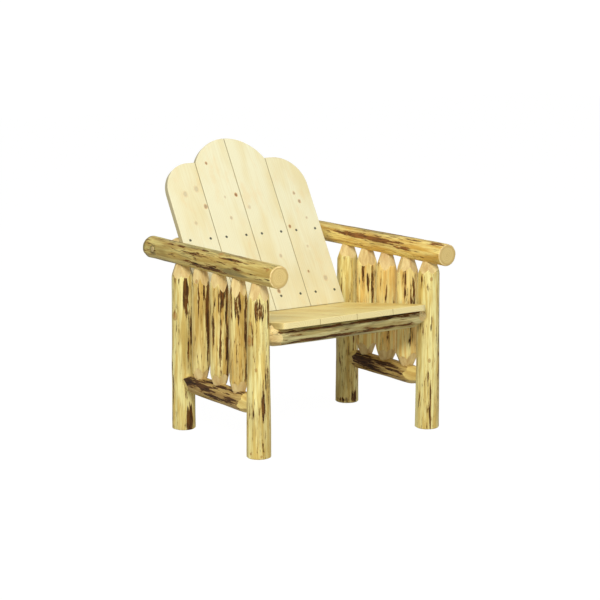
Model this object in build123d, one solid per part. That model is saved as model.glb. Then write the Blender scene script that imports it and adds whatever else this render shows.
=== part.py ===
from build123d import *
from math import cos, radians, sin, tan
import os

# Log armchair: a frame of peeled logs with tenons in mortises, a sloping seat of four
# boards and a reclined back of four boards with a scalloped top.
# Millimetres. +Z is up, the front faces -Y, and left is -X, as seen from the front.
# Every length is first laid out from the middle of the four posts. The finished chair is
# then moved so that the origin is on the floor, below the middle of its bounding box.

# Driving dimensions: posts
post_gauge = 657.4            # left post axis to right post axis
post_base = 441.0             # front post axis to rear post axis
post_butt_d = {"front_left": 77.0, "front_right": 80.0, "rear_left": 77.0, "rear_right": 80.0}
post_neck_d = {"front_left": 66.0, "front_right": 69.0, "rear_left": 69.0, "rear_right": 70.0}
post_shoulder = {"front_left": 56.0, "front_right": 44.0, "rear_left": 46.0, "rear_right": 46.0}
foot_ease = 3.0               # worn edge round the foot of a post

# Driving dimensions: arms
arm_height = 575.0            # floor to the arms' axes
arm_lift = {"left": -2.5, "right": 2.5}         # each log lies a little off that height
arm_front_d = {"left": 71.0, "right": 72.0}
arm_rear_d = {"left": 73.0, "right": 65.0}
arm_nose = {"left": 113.5, "right": 92.0}       # front post axis to the arm's front end
arm_tail = {"left": 65.0, "right": 96.0}        # upper back rail axis to the arm's rear end
arm_ease = 3.5                # broken edge round each sawn end

# Driving dimensions: sides
stretcher_height = {"left": 158.0, "right": 160.0}
stretcher_d = {"left": 64.0, "right": 63.0}
stretcher_shoulder = 36.0
spindle_count = 3
spindle_d = {
    "left": (57.0, 60.0, 57.0),     # front, middle, rear
    "right": (69.0, 70.0, 70.0),
}
spindle_taper = 3.0           # a spindle's butt is this much thicker than its top
spindle_top_shoulder = {"left": 60.0, "right": 52.0}
spindle_foot_shoulder = 42.0

# Driving dimensions: tenons and mortises
arm_tenon_d = 38.0            # on the top of a post
spindle_tenon_d = 36.0
stretcher_tenon_d = 38.0
seat_tenon_d = 44.0           # on the front seat rail
rear_tenon_d = 36.0           # on the rear seat rail and both back rails
past_axis = 6.0               # how far a tenon reaches past the axis of the log it enters
tenon_ease = 2.0
tenon_gap = 0.1               # glue line round a tenon
tenon_end_gap = 1.5           # room for glue at the bottom of a mortise
neck_gap = 0.4                # shoulder to the surface of the next log

# Driving dimensions: seat
board_count = 4
board_t = 19.0                # boards of the seat and the back
board_gap = 2.0               # joint between two boards
board_ease = 2.0
seat_side_gap = 8.7          # widest post to the seat's edge
seat_front_height = 420.0     # floor to the top of the front edge
seat_slope = 7.66             # degrees, falling towards the back
seat_nosing = 56.5            # front edge ahead of the front post axis
seat_tail = 12.0              # rear edge behind the rear post axis
seat_corner_r = 20.0
front_rail_d = 73.0
front_rail_flat = 18.0        # depth of the flat that carries the boards
front_rail_shoulder = 38.0
rear_rail_d = 66.0
rear_rail_flat = 5.0
rear_rail_lead = 8.0          # rear seat rail axis ahead of the rear post axis
rail_shoulder = 34.0          # rear seat rail and both back rails

# Driving dimensions: back
back_recline = 30.28          # degrees from upright
lower_rail_d = 55.0
lower_rail_lag = 9.0          # lower back rail axis behind the rear post axis
lower_rail_gap = 1.0          # lower back rail to the seat boards under it
upper_rail_d = 60.0
back_rail_flat = 2.0          # depth of the flat behind the boards
flat_margin = 2.5             # flats run this far past the boards
foot_gap = 1.5                # back boards' feet to the seat
crest_top = 631.0             # seat to the crest, measured up the back's face
crest_rise = 17.0             # the crest's radius less the pitch of the boards
outer_top = 550.0             # seat to the top of an outer board
outer_flat = 28.0             # straight part of an outer board's top
left_trim = 5.0               # sawn off the outer edge of the left outer back board

# Driving dimensions: fasteners
screw_d = 4.5
screw_head_d = 9.0
screw_head_h = 3.2
screw_rim = 0.5
screw_sink = 0.3              # head below the wood around it
screw_length = 60.0
screw_spread = 39.0           # screws from the middle of a board
screw_drift = 4.0             # the back's rows stand this far to the right
screw_gap = 0.1
rail_screw_length = 50.0      # driven up through the front rail
rail_screw_bite = 13.0        # its thread in the board
lag_d = 8.0
lag_head_d = 13.0
lag_head_h = 5.5
lag_length = 75.0
plug_d = 17.0
plug_length = 12.0
plug_proud = 0.6
lag_seat_depth = 25.0         # arm's outer face to the bottom of the lag screw's counterbore

far = 200.0                   # reach of a cut past the wood that it clears
on_base = (Align.CENTER, Align.CENTER, Align.MIN)

# Places that follow from them
sides = {"left": -1.0, "right": 1.0}
post_x = post_gauge / 2
arm_z = {side: arm_height + arm_lift[side] for side in sides}
post_y = {"front": -post_base / 2, "rear": post_base / 2}
widest_post = max(post_butt_d.values())
board_pitch = (post_gauge - widest_post - 2 * seat_side_gap) / board_count
seat_half = board_count * board_pitch / 2
board_middles = [(n + 0.5) * board_pitch - seat_half for n in range(board_count)]

slope = radians(seat_slope)
recline = radians(back_recline)
seat_front_y = post_y["front"] - seat_nosing
seat_plane = Plane(
    origin=(0, seat_front_y, seat_front_height),
    x_dir=(1, 0, 0),
    z_dir=(0, sin(slope), cos(slope)),
)


def seat_top(y):
    # height of the seat's upper face at y
    return seat_front_height - (y - seat_front_y) * tan(slope)


def rail_height(y, diameter, flat):
    # axis height of a rail whose flat carries the boards at y
    return seat_top(y) - (board_t + diameter / 2 - flat) / cos(slope)


front_rail_y = post_y["front"]
front_rail_z = rail_height(front_rail_y, front_rail_d, front_rail_flat)
rear_rail_y = post_y["rear"] - rear_rail_lead
rear_rail_z = rail_height(rear_rail_y, rear_rail_d, rear_rail_flat)
seat_length = (post_y["rear"] + seat_tail - seat_front_y) / cos(slope)

# The lower back rail lies just above the seat, and the back's face stands off it.
lower_rail_y = post_y["rear"] + lower_rail_lag
lower_rail_z = seat_top(lower_rail_y) + (lower_rail_d / 2 + lower_rail_gap) / cos(slope)
lower_reach = board_t + lower_rail_d / 2 - back_rail_flat
face_y = lower_rail_y - lower_reach * cos(recline)
face_z = lower_rail_z + lower_reach * sin(recline)
lower_row = (face_z - seat_top(face_y)) / (cos(recline) + sin(recline) * tan(slope))
foot_y = face_y - lower_row * sin(recline)
foot_z = face_z - lower_row * cos(recline)
back_plane = Plane(
    origin=(0, foot_y, foot_z),
    x_dir=(1, 0, 0),
    z_dir=(0, -cos(recline), sin(recline)),
)
upper_reach = board_t + upper_rail_d / 2 - back_rail_flat
upper_row = (arm_height - foot_z + upper_reach * sin(recline)) / cos(recline)
upper_rail_y = foot_y + upper_row * sin(recline) + upper_reach * cos(recline)


class Log:
    # A peeled log along one axis of the frame. It runs from start to end, tenons included,
    # and tapers evenly between the diameters start_d and end_d. An end is sawn, with a
    # broken edge, or has a tenon: (diameter, length, length of the shoulder cone).
    def __init__(self, along, centre, start, end, start_d, end_d, tips, ease):
        self.start, self.end = start, end
        self.start_d, self.end_d = start_d, end_d
        self.tips, self.ease = tips, ease
        turn = {"X": Rot(0, 90, 0), "Y": Rot(-90, 0, 0), "Z": Rot(0, 0, 0)}[along]
        self.place = Pos(*centre) * turn

    def radius(self, at):
        share = (at - self.start) / (self.end - self.start)
        return (self.start_d + (self.end_d - self.start_d) * share) / 2

    def tip_points(self, end, inward, tip):
        if tip is None:
            whole = self.radius(end)
            return [(whole - self.ease, end), (whole, end + inward * self.ease)]
        tenon_d, length, shoulder = tip
        neck = end + inward * length
        full = neck + inward * shoulder
        return [
            (tenon_d / 2 - tenon_ease, end),
            (tenon_d / 2, end + inward * tenon_ease),
            (tenon_d / 2, neck),
            (self.radius(full), full),
        ]

    def solid(self):
        low = self.tip_points(self.start, 1, self.tips[0])
        high = self.tip_points(self.end, -1, self.tips[1])
        outline = [(0, self.start)] + low + high[::-1] + [(0, self.end)]
        edge = Polyline(*[(r, 0, z) for r, z in outline], close=True)
        return self.place * revolve(make_face(edge), Axis.Z)

    def sockets(self):
        # what the tenons take out of the logs that they enter
        cuts = []
        for end, inward, tip in ((self.start, 1, self.tips[0]), (self.end, -1, self.tips[1])):
            if tip is None:
                continue
            length = tip[1] + tenon_end_gap
            middle = end + inward * (tip[1] - tenon_end_gap) / 2
            cuts.append(self.place * Pos(0, 0, middle) * Cylinder(tip[0] / 2 + tenon_gap, length))
        return cuts


def upright(side, x, y, butt_d, top_d, foot, tenon_d, foot_tip, shoulder, ease):
    # a post or spindle, from its foot up to its tenon in the arm
    arm = arms[side]
    under = arm_z[side] - arm.radius(y) - neck_gap
    top = arm_z[side] + past_axis
    return Log(
        "Z", (x, y, 0), foot, top, butt_d, top_d,
        (foot_tip, (tenon_d, top - under, shoulder)), ease,
    )


def cross_rail(y, z, diameter, tenon_d, shoulder, near):
    # a rail between two logs whose nearest faces are at near on either side
    end = post_x + past_axis
    tip = (tenon_d, end - near + neck_gap, shoulder)
    return Log("X", (0, y, z), -end, end, diameter, diameter, (tip, tip), tenon_ease)


arms = {
    side: Log(
        "Y", (sign * post_x, 0, arm_z[side]),
        post_y["front"] - arm_nose[side], upper_rail_y + arm_tail[side],
        arm_front_d[side], arm_rear_d[side], (None, None), arm_ease,
    )
    for side, sign in sides.items()
}
posts = {
    f"{row}_{side}": upright(
        side, sign * post_x, post_y[row], post_butt_d[f"{row}_{side}"],
        post_neck_d[f"{row}_{side}"], 0, arm_tenon_d, None, post_shoulder[f"{row}_{side}"], foot_ease,
    )
    for row in post_y
    for side, sign in sides.items()
}


def side_stretcher(side, sign):
    height = stretcher_height[side]
    tips = []
    for row in post_y:
        face = post_base / 2 - posts[f"{row}_{side}"].radius(height) - neck_gap
        end = post_base / 2 + past_axis
        tips.append((stretcher_tenon_d, end - face, stretcher_shoulder))
    return Log(
        "Y", (sign * post_x, 0, height), -end, end,
        stretcher_d[side], stretcher_d[side], tips, tenon_ease,
    )


stretchers = {side: side_stretcher(side, sign) for side, sign in sides.items()}


def spindle(side, sign, number):
    y = post_base * ((number + 1) / (spindle_count + 1) - 0.5)
    height = stretcher_height[side]
    foot = height - past_axis
    neck = height + stretchers[side].radius(y) + neck_gap
    top_d = spindle_d[side][number]
    foot_tip = (spindle_tenon_d, neck - foot, spindle_foot_shoulder)
    return upright(
        side, sign * post_x, y, top_d + spindle_taper, top_d, foot,
        spindle_tenon_d, foot_tip, spindle_top_shoulder[side], tenon_ease,
    )


spindle_places = ("front", "middle", "rear")
spindles = {
    f"{side}_{spindle_places[number]}": spindle(side, sign, number)
    for side, sign in sides.items()
    for number in range(spindle_count)
}


def post_face(row, height):
    # distance from the chair's middle plane to the nearest face of a pair of posts
    return post_x - max(posts[f"{row}_{side}"].radius(height) for side in sides)


front_rail = cross_rail(
    front_rail_y, front_rail_z, front_rail_d, seat_tenon_d,
    front_rail_shoulder, post_face("front", front_rail_z),
)
rear_rail = cross_rail(
    rear_rail_y, rear_rail_z, rear_rail_d, rear_tenon_d,
    rail_shoulder, post_face("rear", rear_rail_z),
)
lower_rail = cross_rail(
    lower_rail_y, lower_rail_z, lower_rail_d, rear_tenon_d,
    rail_shoulder, post_face("rear", lower_rail_z),
)
arm_face = post_x - max(arm.radius(upper_rail_y) for arm in arms.values())
upper_rail = cross_rail(
    upper_rail_y, arm_height, upper_rail_d, rear_tenon_d,
    rail_shoulder, arm_face,
)


def box_in(plane, low, high):
    # box between two corners, given in a plane's own axes
    size = [b - a for a, b in zip(low, high)]
    return plane * Pos(*low) * Box(*size, align=(Align.MIN, Align.MIN, Align.MIN))


flat_half = seat_half + flat_margin
seat_layer = box_in(seat_plane, (-flat_half, -far, -board_t), (flat_half, 5 * far, far))
below_back = box_in(seat_plane, (-3 * far, 0, -far), (3 * far, 5 * far, foot_gap))


def back_layer(row):
    # the space in front of a back rail's flat, as high as the rail
    reach = max(lower_rail_d, upper_rail_d)
    return box_in(
        back_plane, (-flat_half, row - reach, -board_t), (flat_half, row + reach, far)
    )


def screw(length, grow=0.0):
    # countersunk screw with its head's face at Z=0, pointing down; grow makes its hole
    head = screw_head_d / 2 + grow
    shank = screw_d / 2 + grow
    rise = far if grow else 0.0
    outline = [
        (0, rise), (head, rise), (head, -screw_rim), (shank, -screw_head_h), (shank, -length),
        (0, -length - shank),
    ]
    edge = Polyline(*[(r, 0, z) for r, z in outline], close=True)
    return revolve(make_face(edge), Axis.Z)


def screw_row(plane, depth, places, y, length, flip, grow=0.0):
    # screws at the given places along a row, in a plane's own axes
    turn = Rot(180, 0, 0) if flip else Rot(0, 0, 0)
    one = screw(length, grow)
    return [plane * Pos(x, y, depth) * turn * one for x in places]


screw_places = [middle + way * screw_spread for middle in board_middles for way in (-1, 1)]
back_places = [x + screw_drift for x in screw_places]
front_row = (front_rail_y - seat_front_y) / cos(slope)
rear_row = (rear_rail_y - seat_front_y) / cos(slope) - rear_rail_flat
front_head = rail_screw_bite - board_t - rail_screw_length
screw_rows = {
    "back_screws_upper": (back_plane, -screw_sink, back_places, upper_row, screw_length, False),
    "back_screws_lower": (back_plane, -screw_sink, back_places, lower_row, screw_length, False),
    "seat_screws_rear": (seat_plane, -screw_sink, screw_places, rear_row, screw_length, False),
    "seat_screws_front": (
        seat_plane, front_head, screw_places, front_row, rail_screw_length, True,
    ),
}
screw_holes = {name: screw_row(*row, grow=screw_gap) for name, row in screw_rows.items()}


def eased(face):
    # board of the given outline, its upper face at Z=0, with the edges of that face eased
    board = extrude(face, -board_t, dir=(0, 0, 1))
    return fillet(board.faces().sort_by(Axis.Z)[-1].edges(), board_ease)


def span(middle):
    # the two long edges of the board in the middle place
    half = (board_pitch - board_gap) / 2
    return middle - half, middle + half


def seat_board(middle):
    low, high = span(middle)
    face = Pos(middle, seat_length / 2) * Rectangle(high - low, seat_length)
    front = face.vertices().group_by(Axis.Y)[0].sort_by(Axis.X)
    if middle == board_middles[0]:
        face = fillet(front[0], seat_corner_r)
    if middle == board_middles[-1]:
        face = fillet(front[-1], seat_corner_r)
    return seat_plane * eased(face)


def crest_face(low, high, bottom):
    # a middle board: its top is part of one arc about the back's middle line
    radius = board_pitch + crest_rise
    centre = crest_top - radius
    stem = Pos((low + high) / 2, (bottom + centre) / 2) * Rectangle(high - low, centre - bottom)
    strip = Pos((low + high) / 2, centre + radius / 2) * Rectangle(high - low, radius)
    return stem + (strip & Pos(0, centre) * Circle(radius))


def shoulder_face(low, high, bottom):
    # an outer board: a short level top, then one large arc to its outer edge
    low += left_trim if low < 0 else 0.0
    stem = Pos((low + high) / 2, (bottom + outer_top) / 2) * Rectangle(
        high - low, outer_top - bottom
    )
    top = stem.vertices().group_by(Axis.Y)[-1].sort_by(Axis.X)
    corner = top[-1] if low > 0 else top[0]
    return fillet(corner, high - low - outer_flat)


def back_board(middle):
    low, high = span(middle)
    outline = crest_face if abs(middle) < board_pitch else shoulder_face
    board = back_plane * eased(outline(low, high, -2 * board_t))
    return board - below_back


def lag_screw(side, sign, grow=0.0):
    # lag screw through the arm into the upper back rail; grow makes its counterbored hole
    seat = post_x + arms[side].radius(upper_rail_y) - lag_seat_depth
    place = Pos(0, upper_rail_y, arm_height) * Rot(0, 90 * sign, 0)
    shank = Pos(0, 0, seat - lag_length) * Cylinder(lag_d / 2 + grow, lag_length, align=on_base)
    if grow:
        head = Pos(0, 0, seat) * Cylinder(plug_d / 2 + grow, far, align=on_base)
    else:
        head = Pos(0, 0, seat) * extrude(RegularPolygon(lag_head_d / 2, 6), lag_head_h)
    return place * (shank + head)


def arm_plug(side, sign):
    outer = post_x + arms[side].radius(upper_rail_y) + plug_proud
    place = Pos(0, upper_rail_y, arm_height) * Rot(0, 90 * sign, 0)
    body = Pos(0, 0, outer - plug_length) * Cylinder(plug_d / 2, plug_length, align=on_base)
    return place * body


lag_holes = {side: lag_screw(side, sign, screw_gap) for side, sign in sides.items()}

# What each log loses to its neighbours: mortises, flats, screw holes
cuts = {f"arm_{side}": [lag_holes[side]] for side in sides}
cuts |= {f"stretcher_{side}": [] for side in sides}
cuts |= {f"post_{name}": [] for name in posts}
cuts |= {
    "seat_rail_front": [seat_layer] + screw_holes["seat_screws_front"],
    "seat_rail_rear": [seat_layer] + screw_holes["seat_screws_rear"],
    "back_rail_lower": [back_layer(lower_row)] + screw_holes["back_screws_lower"],
    "back_rail_upper": [back_layer(upper_row)] + screw_holes["back_screws_upper"]
    + list(lag_holes.values()),
}
for name, post in posts.items():
    side = name.split("_")[1]
    cuts[f"arm_{side}"] += post.sockets()
    cuts[f"post_{name}"] += stretchers[side].sockets()
    rails = (front_rail,) if name.startswith("front") else (rear_rail, lower_rail)
    for rail in rails:
        cuts[f"post_{name}"] += rail.sockets()
for name, stick in spindles.items():
    side = name.split("_")[0]
    cuts[f"stretcher_{side}"] += stick.sockets()
    cuts[f"arm_{side}"] += stick.sockets()
for side in sides:
    cuts[f"arm_{side}"] += upper_rail.sockets()

logs = {f"post_{name}": log for name, log in posts.items()}
logs |= {f"arm_{side}": log for side, log in arms.items()}
logs |= {f"stretcher_{side}": log for side, log in stretchers.items()}
logs |= {f"spindle_{name}": log for name, log in spindles.items()}
logs |= {
    "seat_rail_front": front_rail, "seat_rail_rear": rear_rail,
    "back_rail_lower": lower_rail, "back_rail_upper": upper_rail,
}


def cut_by(solid, tools):
    # only the tools that reach the solid are used
    box = solid.bounding_box()
    for tool in tools:
        other = tool.bounding_box()
        meets = all(
            a <= d and c <= b
            for a, b, c, d in zip(tuple(box.min), tuple(box.max), tuple(other.min), tuple(other.max))
        )
        if meets:
            solid = solid - tool
    return solid


nodes = {name: cut_by(log.solid(), cuts.get(name, [])) for name, log in logs.items()}
for number, middle in enumerate(board_middles, 1):
    seat_holes = screw_holes["seat_screws_front"] + screw_holes["seat_screws_rear"]
    back_holes = screw_holes["back_screws_lower"] + screw_holes["back_screws_upper"]
    nodes[f"seat_board_{number}"] = cut_by(seat_board(middle), seat_holes)
    nodes[f"back_board_{number}"] = cut_by(back_board(middle), back_holes)
for name, row in screw_rows.items():
    nodes[name] = Compound(children=screw_row(*row))
nodes["arm_lag_screws"] = Compound(children=[lag_screw(side, sign) for side, sign in sides.items()])
nodes["arm_plugs"] = Compound(children=[arm_plug(side, sign) for side, sign in sides.items()])

whole = Compound(children=[Compound(solid.solids()) for solid in nodes.values()]).bounding_box()
to_origin = Pos(-whole.center().X, -whole.center().Y, -whole.min.Z)
os.makedirs("parts", exist_ok=True)
for name, solid in nodes.items():
    export_step(to_origin * Compound(solid.solids()), f"parts/{name}.step")
print("size", whole.size, "moved", to_origin.position)
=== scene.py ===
import bpy, bmesh
import numpy as np
from math import cos, pi, radians, sin
from mathutils import Matrix, Vector


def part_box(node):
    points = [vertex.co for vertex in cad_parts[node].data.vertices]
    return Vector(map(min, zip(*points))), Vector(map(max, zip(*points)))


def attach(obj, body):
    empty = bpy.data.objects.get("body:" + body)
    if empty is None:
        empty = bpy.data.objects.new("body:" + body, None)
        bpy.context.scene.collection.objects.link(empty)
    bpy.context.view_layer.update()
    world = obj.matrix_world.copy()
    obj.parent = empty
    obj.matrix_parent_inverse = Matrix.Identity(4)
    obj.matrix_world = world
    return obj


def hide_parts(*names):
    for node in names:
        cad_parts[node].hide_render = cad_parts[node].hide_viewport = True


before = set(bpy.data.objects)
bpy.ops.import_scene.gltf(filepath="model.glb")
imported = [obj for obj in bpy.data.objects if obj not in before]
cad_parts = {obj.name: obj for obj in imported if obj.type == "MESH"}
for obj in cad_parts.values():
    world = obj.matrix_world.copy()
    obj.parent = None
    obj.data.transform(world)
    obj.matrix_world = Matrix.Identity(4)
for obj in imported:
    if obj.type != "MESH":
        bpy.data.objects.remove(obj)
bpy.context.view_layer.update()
scene = bpy.context.scene
print("frame loaded,", len(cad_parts), "parts")


# Node trees are written as sums: a Wire stands for a socket and can be added and multiplied

class Wire:
    # one output of a node, usable in sums; every sign adds a Math node
    def __init__(self, net, socket):
        self.net = net
        self.socket = socket

    def __add__(self, other):
        return self.net.math("ADD", self, other)

    def __sub__(self, other):
        return self.net.math("SUBTRACT", self, other)

    def __rsub__(self, other):
        return self.net.math("SUBTRACT", other, self)

    def __mul__(self, other):
        return self.net.math("MULTIPLY", self, other)

    def __truediv__(self, other):
        return self.net.math("DIVIDE", self, other)

    def __rtruediv__(self, other):
        return self.net.math("DIVIDE", other, self)

    def __pow__(self, other):
        return self.net.math("POWER", self, other)

    __radd__ = __add__
    __rmul__ = __mul__


class Net:
    # a shader or geometry tree that is being written
    def __init__(self, tree):
        self.tree = tree

    def set(self, socket, value):
        if isinstance(value, Wire):
            self.tree.links.new(value.socket, socket)
        elif value is not None:
            socket.default_value = value

    def add(self, kind, wires=None, out=0, **settings):
        # wires: input name or number to a value or Wire; out: the output to carry on with
        node = self.tree.nodes.new(kind)
        for key, value in settings.items():
            setattr(node, key, value)
        for key, value in (wires or {}).items():
            self.set(node.inputs[key], value)
        return Wire(self, node.outputs[out])

    def math(self, operation, *values, clamp=False):
        node = self.tree.nodes.new("ShaderNodeMath")
        node.operation = operation
        node.use_clamp = clamp
        for socket, value in zip(node.inputs, values):
            self.set(socket, value)
        return Wire(self, node.outputs[0])

    def vector(self, operation, *values, out=0):
        node = self.tree.nodes.new("ShaderNodeVectorMath")
        node.operation = operation
        for socket, value in zip([s for s in node.inputs if s.type == "VECTOR"], values):
            self.set(socket, value)
        return Wire(self, node.outputs[out])

    def scaled(self, vector, x, y, z):
        return self.vector("MULTIPLY", vector, (x, y, z))

    def split(self, vector):
        node = self.tree.nodes.new("ShaderNodeSeparateXYZ")
        self.set(node.inputs[0], vector)
        return [Wire(self, out) for out in node.outputs]

    def join(self, x, y, z):
        return self.add("ShaderNodeCombineXYZ", {0: x, 1: y, 2: z})

    def ramp(self, value, low, high, start=0.0, end=1.0):
        # smooth step from start to end as the value goes from low to high
        wires = {0: value, 1: low, 2: high, 3: start, 4: end}
        return self.add("ShaderNodeMapRange", wires, interpolation_type="SMOOTHSTEP")

    def noise(self, vector, scale, detail=3.0, rough=0.5, warp=0.0):
        wires = {"Vector": vector, "Scale": scale, "Detail": detail, "Roughness": rough,
                 "Distortion": warp}
        return self.add("ShaderNodeTexNoise", wires)

    def blend(self, share, first, second):
        # mixes two colours
        wires = {0: share, 6: first, 7: second}
        return self.add("ShaderNodeMix", wires, out=2, data_type="RGBA")

    def relief(self, shader, height, distance, strength):
        # raises a surface by its height, through the shader's normal
        wires = {"Height": height, "Distance": distance, "Strength": strength}
        self.set(shader.inputs["Normal"], self.add("ShaderNodeBump", wires))

    def sizes(self, inputs, result):
        # the inputs and the output of a geometry tree; returns the inputs by name
        for name, (kind, value) in inputs.items():
            socket = self.tree.interface.new_socket(
                name, in_out="INPUT", socket_type="NodeSocket" + kind)
            if value is not None:
                socket.default_value = value
        self.tree.interface.new_socket(
            result, in_out="OUTPUT", socket_type="NodeSocketGeometry")
        source = self.tree.nodes.new("NodeGroupInput")
        return {name: Wire(self, source.outputs[name]) for name in inputs}

    def wrappedGrid(self, size):
        # a flat grid to wrap into a round piece: the grid, the turn round the piece at each
        # point, the number of its last row and the number of the point's row
        wires = {"Size X": 1.0, "Size Y": 1.0, "Vertices X": size["Columns"] + 1,
                 "Vertices Y": size["Rows"]}
        grid = self.add("GeometryNodeMeshGrid", wires)
        across, up, _ = self.split(self.add("GeometryNodeInputPosition"))
        last = size["Rows"] - 1
        return grid, (across + 0.5) * (2 * pi), last, (up + 0.5) * last

    def upToOne(self, value):
        return self.math("MULTIPLY", value, 1.0, clamp=True)

    def least(self, *values):
        return self.math("MINIMUM", *values)

    def most(self, *values):
        return self.math("MAXIMUM", *values)


def tint(code):
    # colour from its six-digit code, as linear light
    parts = [int(code[n:n + 2], 16) / 255 for n in (0, 2, 4)]
    return tuple(c / 12.92 if c < 0.04045 else ((c + 0.055) / 1.055) ** 2.4 for c in parts) + (1,)


# Camera, floor and light

view = {      # angles in degrees, distances in metres, lens in millimetres
    "turn": -34.836, "rise": 10.305, "away": 5.83255, "lens": 108.647, "far": 50.0,
    "aim": (-0.013042, -0.0691988, 0.4202521),
}


def placeCamera():
    turn = radians(view["turn"])
    rise = radians(view["rise"])
    back = Vector((sin(turn) * cos(rise), -cos(turn) * cos(rise), sin(rise)))
    right = Vector((cos(turn), sin(turn), 0))
    data = bpy.data.cameras.new("camera")
    data.lens = view["lens"]
    data.clip_end = view["far"]
    camera = bpy.data.objects.new("camera", data)
    scene.collection.objects.link(camera)
    place = Matrix((right, back.cross(right), back)).transposed().to_4x4()
    place.translation = Vector(view["aim"]) + view["away"] * back
    camera.matrix_world = place
    scene.camera = camera


studio = {
    "ambient": 0.37, "backdrop": 1.06, "floor": "C9C6BE", "paper": 0.93, "reach": 12.0,
    "lamps": {      # place, aim, size, watts, colour
        "keyLamp": ((-2.8, -3.4, 3.1), (0, 0, 0.45), 1.4, 180, "FFFDF6"),
        "fillLamp": ((3.4, -3.2, 2.2), (0, 0, 0.5), 2.5, 20, "F6F9FF"),
        "topLamp": ((0.2, -0.4, 3.8), (0, 0, 0.4), 2.4, 26, "FFFFFF"),
    },
}


def lightStudio():
    world = bpy.data.worlds.new("studio")
    scene.world = world
    world.use_nodes = True
    net = Net(world.node_tree)
    net.tree.nodes.clear()
    ambient = net.add("ShaderNodeBackground", {0: (1, 1, 1, 1), 1: studio["ambient"]})
    backdrop = net.add("ShaderNodeBackground", {0: (1, 1, 1, 1), 1: studio["backdrop"]})
    seen = net.add("ShaderNodeLightPath", out="Is Camera Ray")
    mixed = net.add("ShaderNodeMixShader", {0: seen, 1: ambient, 2: backdrop})
    output = net.tree.nodes.new("ShaderNodeOutputWorld")
    net.set(output.inputs[0], mixed)
    for name, (place, aim, size, watts, colour) in studio["lamps"].items():
        lamp = bpy.data.lights.new(name, "AREA")
        lamp.shape = "DISK"
        lamp.size = size
        lamp.energy = watts
        lamp.color = tint(colour)[:3]
        stand = bpy.data.objects.new(name, lamp)
        stand.location = place
        stand.rotation_euler = (Vector(aim) - Vector(place)).to_track_quat("-Z", "Y").to_euler()
        scene.collection.objects.link(stand)
    scene.view_settings.view_transform = "Standard"


def layFloor():
    # pale paper that shows nearly white and still takes a faint shadow
    mesh = bpy.data.meshes.new("floor")
    reach = studio["reach"]
    corners = [(-reach, -reach, 0), (reach, -reach, 0), (reach, reach, 0), (-reach, reach, 0)]
    mesh.from_pydata(corners, [], [(0, 1, 2, 3)])
    floor = bpy.data.objects.new("floor", mesh)
    scene.collection.objects.link(floor)
    material, net, shader = newMaterial("floorPaper")
    net.set(shader.inputs["Base Color"], tint(studio["floor"]))
    shader.inputs["Roughness"].default_value = 0.9
    shader.inputs["Specular IOR Level"].default_value = 0.1
    seen = net.add("ShaderNodeLightPath", out="Is Camera Ray")
    white = net.add("ShaderNodeEmission", {0: (1, 1, 1, 1), 1: studio["backdrop"]})
    lit = Wire(net, shader.outputs[0])
    paper = net.add("ShaderNodeMixShader", {0: seen * studio["paper"], 1: lit, 2: white})
    net.set(net.tree.nodes["Material Output"].inputs["Surface"], paper)
    mesh.materials.append(material)


def newMaterial(name):
    material = bpy.data.materials.new(name)
    material.use_nodes = True
    net = Net(material.node_tree)
    return material, net, net.tree.nodes["Principled BSDF"]


# Wood of the peeled logs

peeled = {      # colours shared by every log; a log's own look may change any of them
    "light": "F6EEA6", "deep": "DAC06C", "dirt": "B49C54", "carved": "EEDA9C", "carvedDeep": "CBA96C",
    "halo": "9A6E2C", "bark": "744A16", "barkDeep": "2A1806", "stainAndShade": "504C2C", "knot": "B27C3A",
    "fleck": 0.036, "streak": 0.6,      # how much bark is left, and how unevenly
    "barkRange": (0.685, 0.71), "haloRange": (0.60, 0.72),      # where bark and its seam begin
    "rough": 0.46, "coat": 0.15, "coatRough": 0.28, "specular": 0.3, "bump": 0.45, "relief": 0.0009,
}


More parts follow.
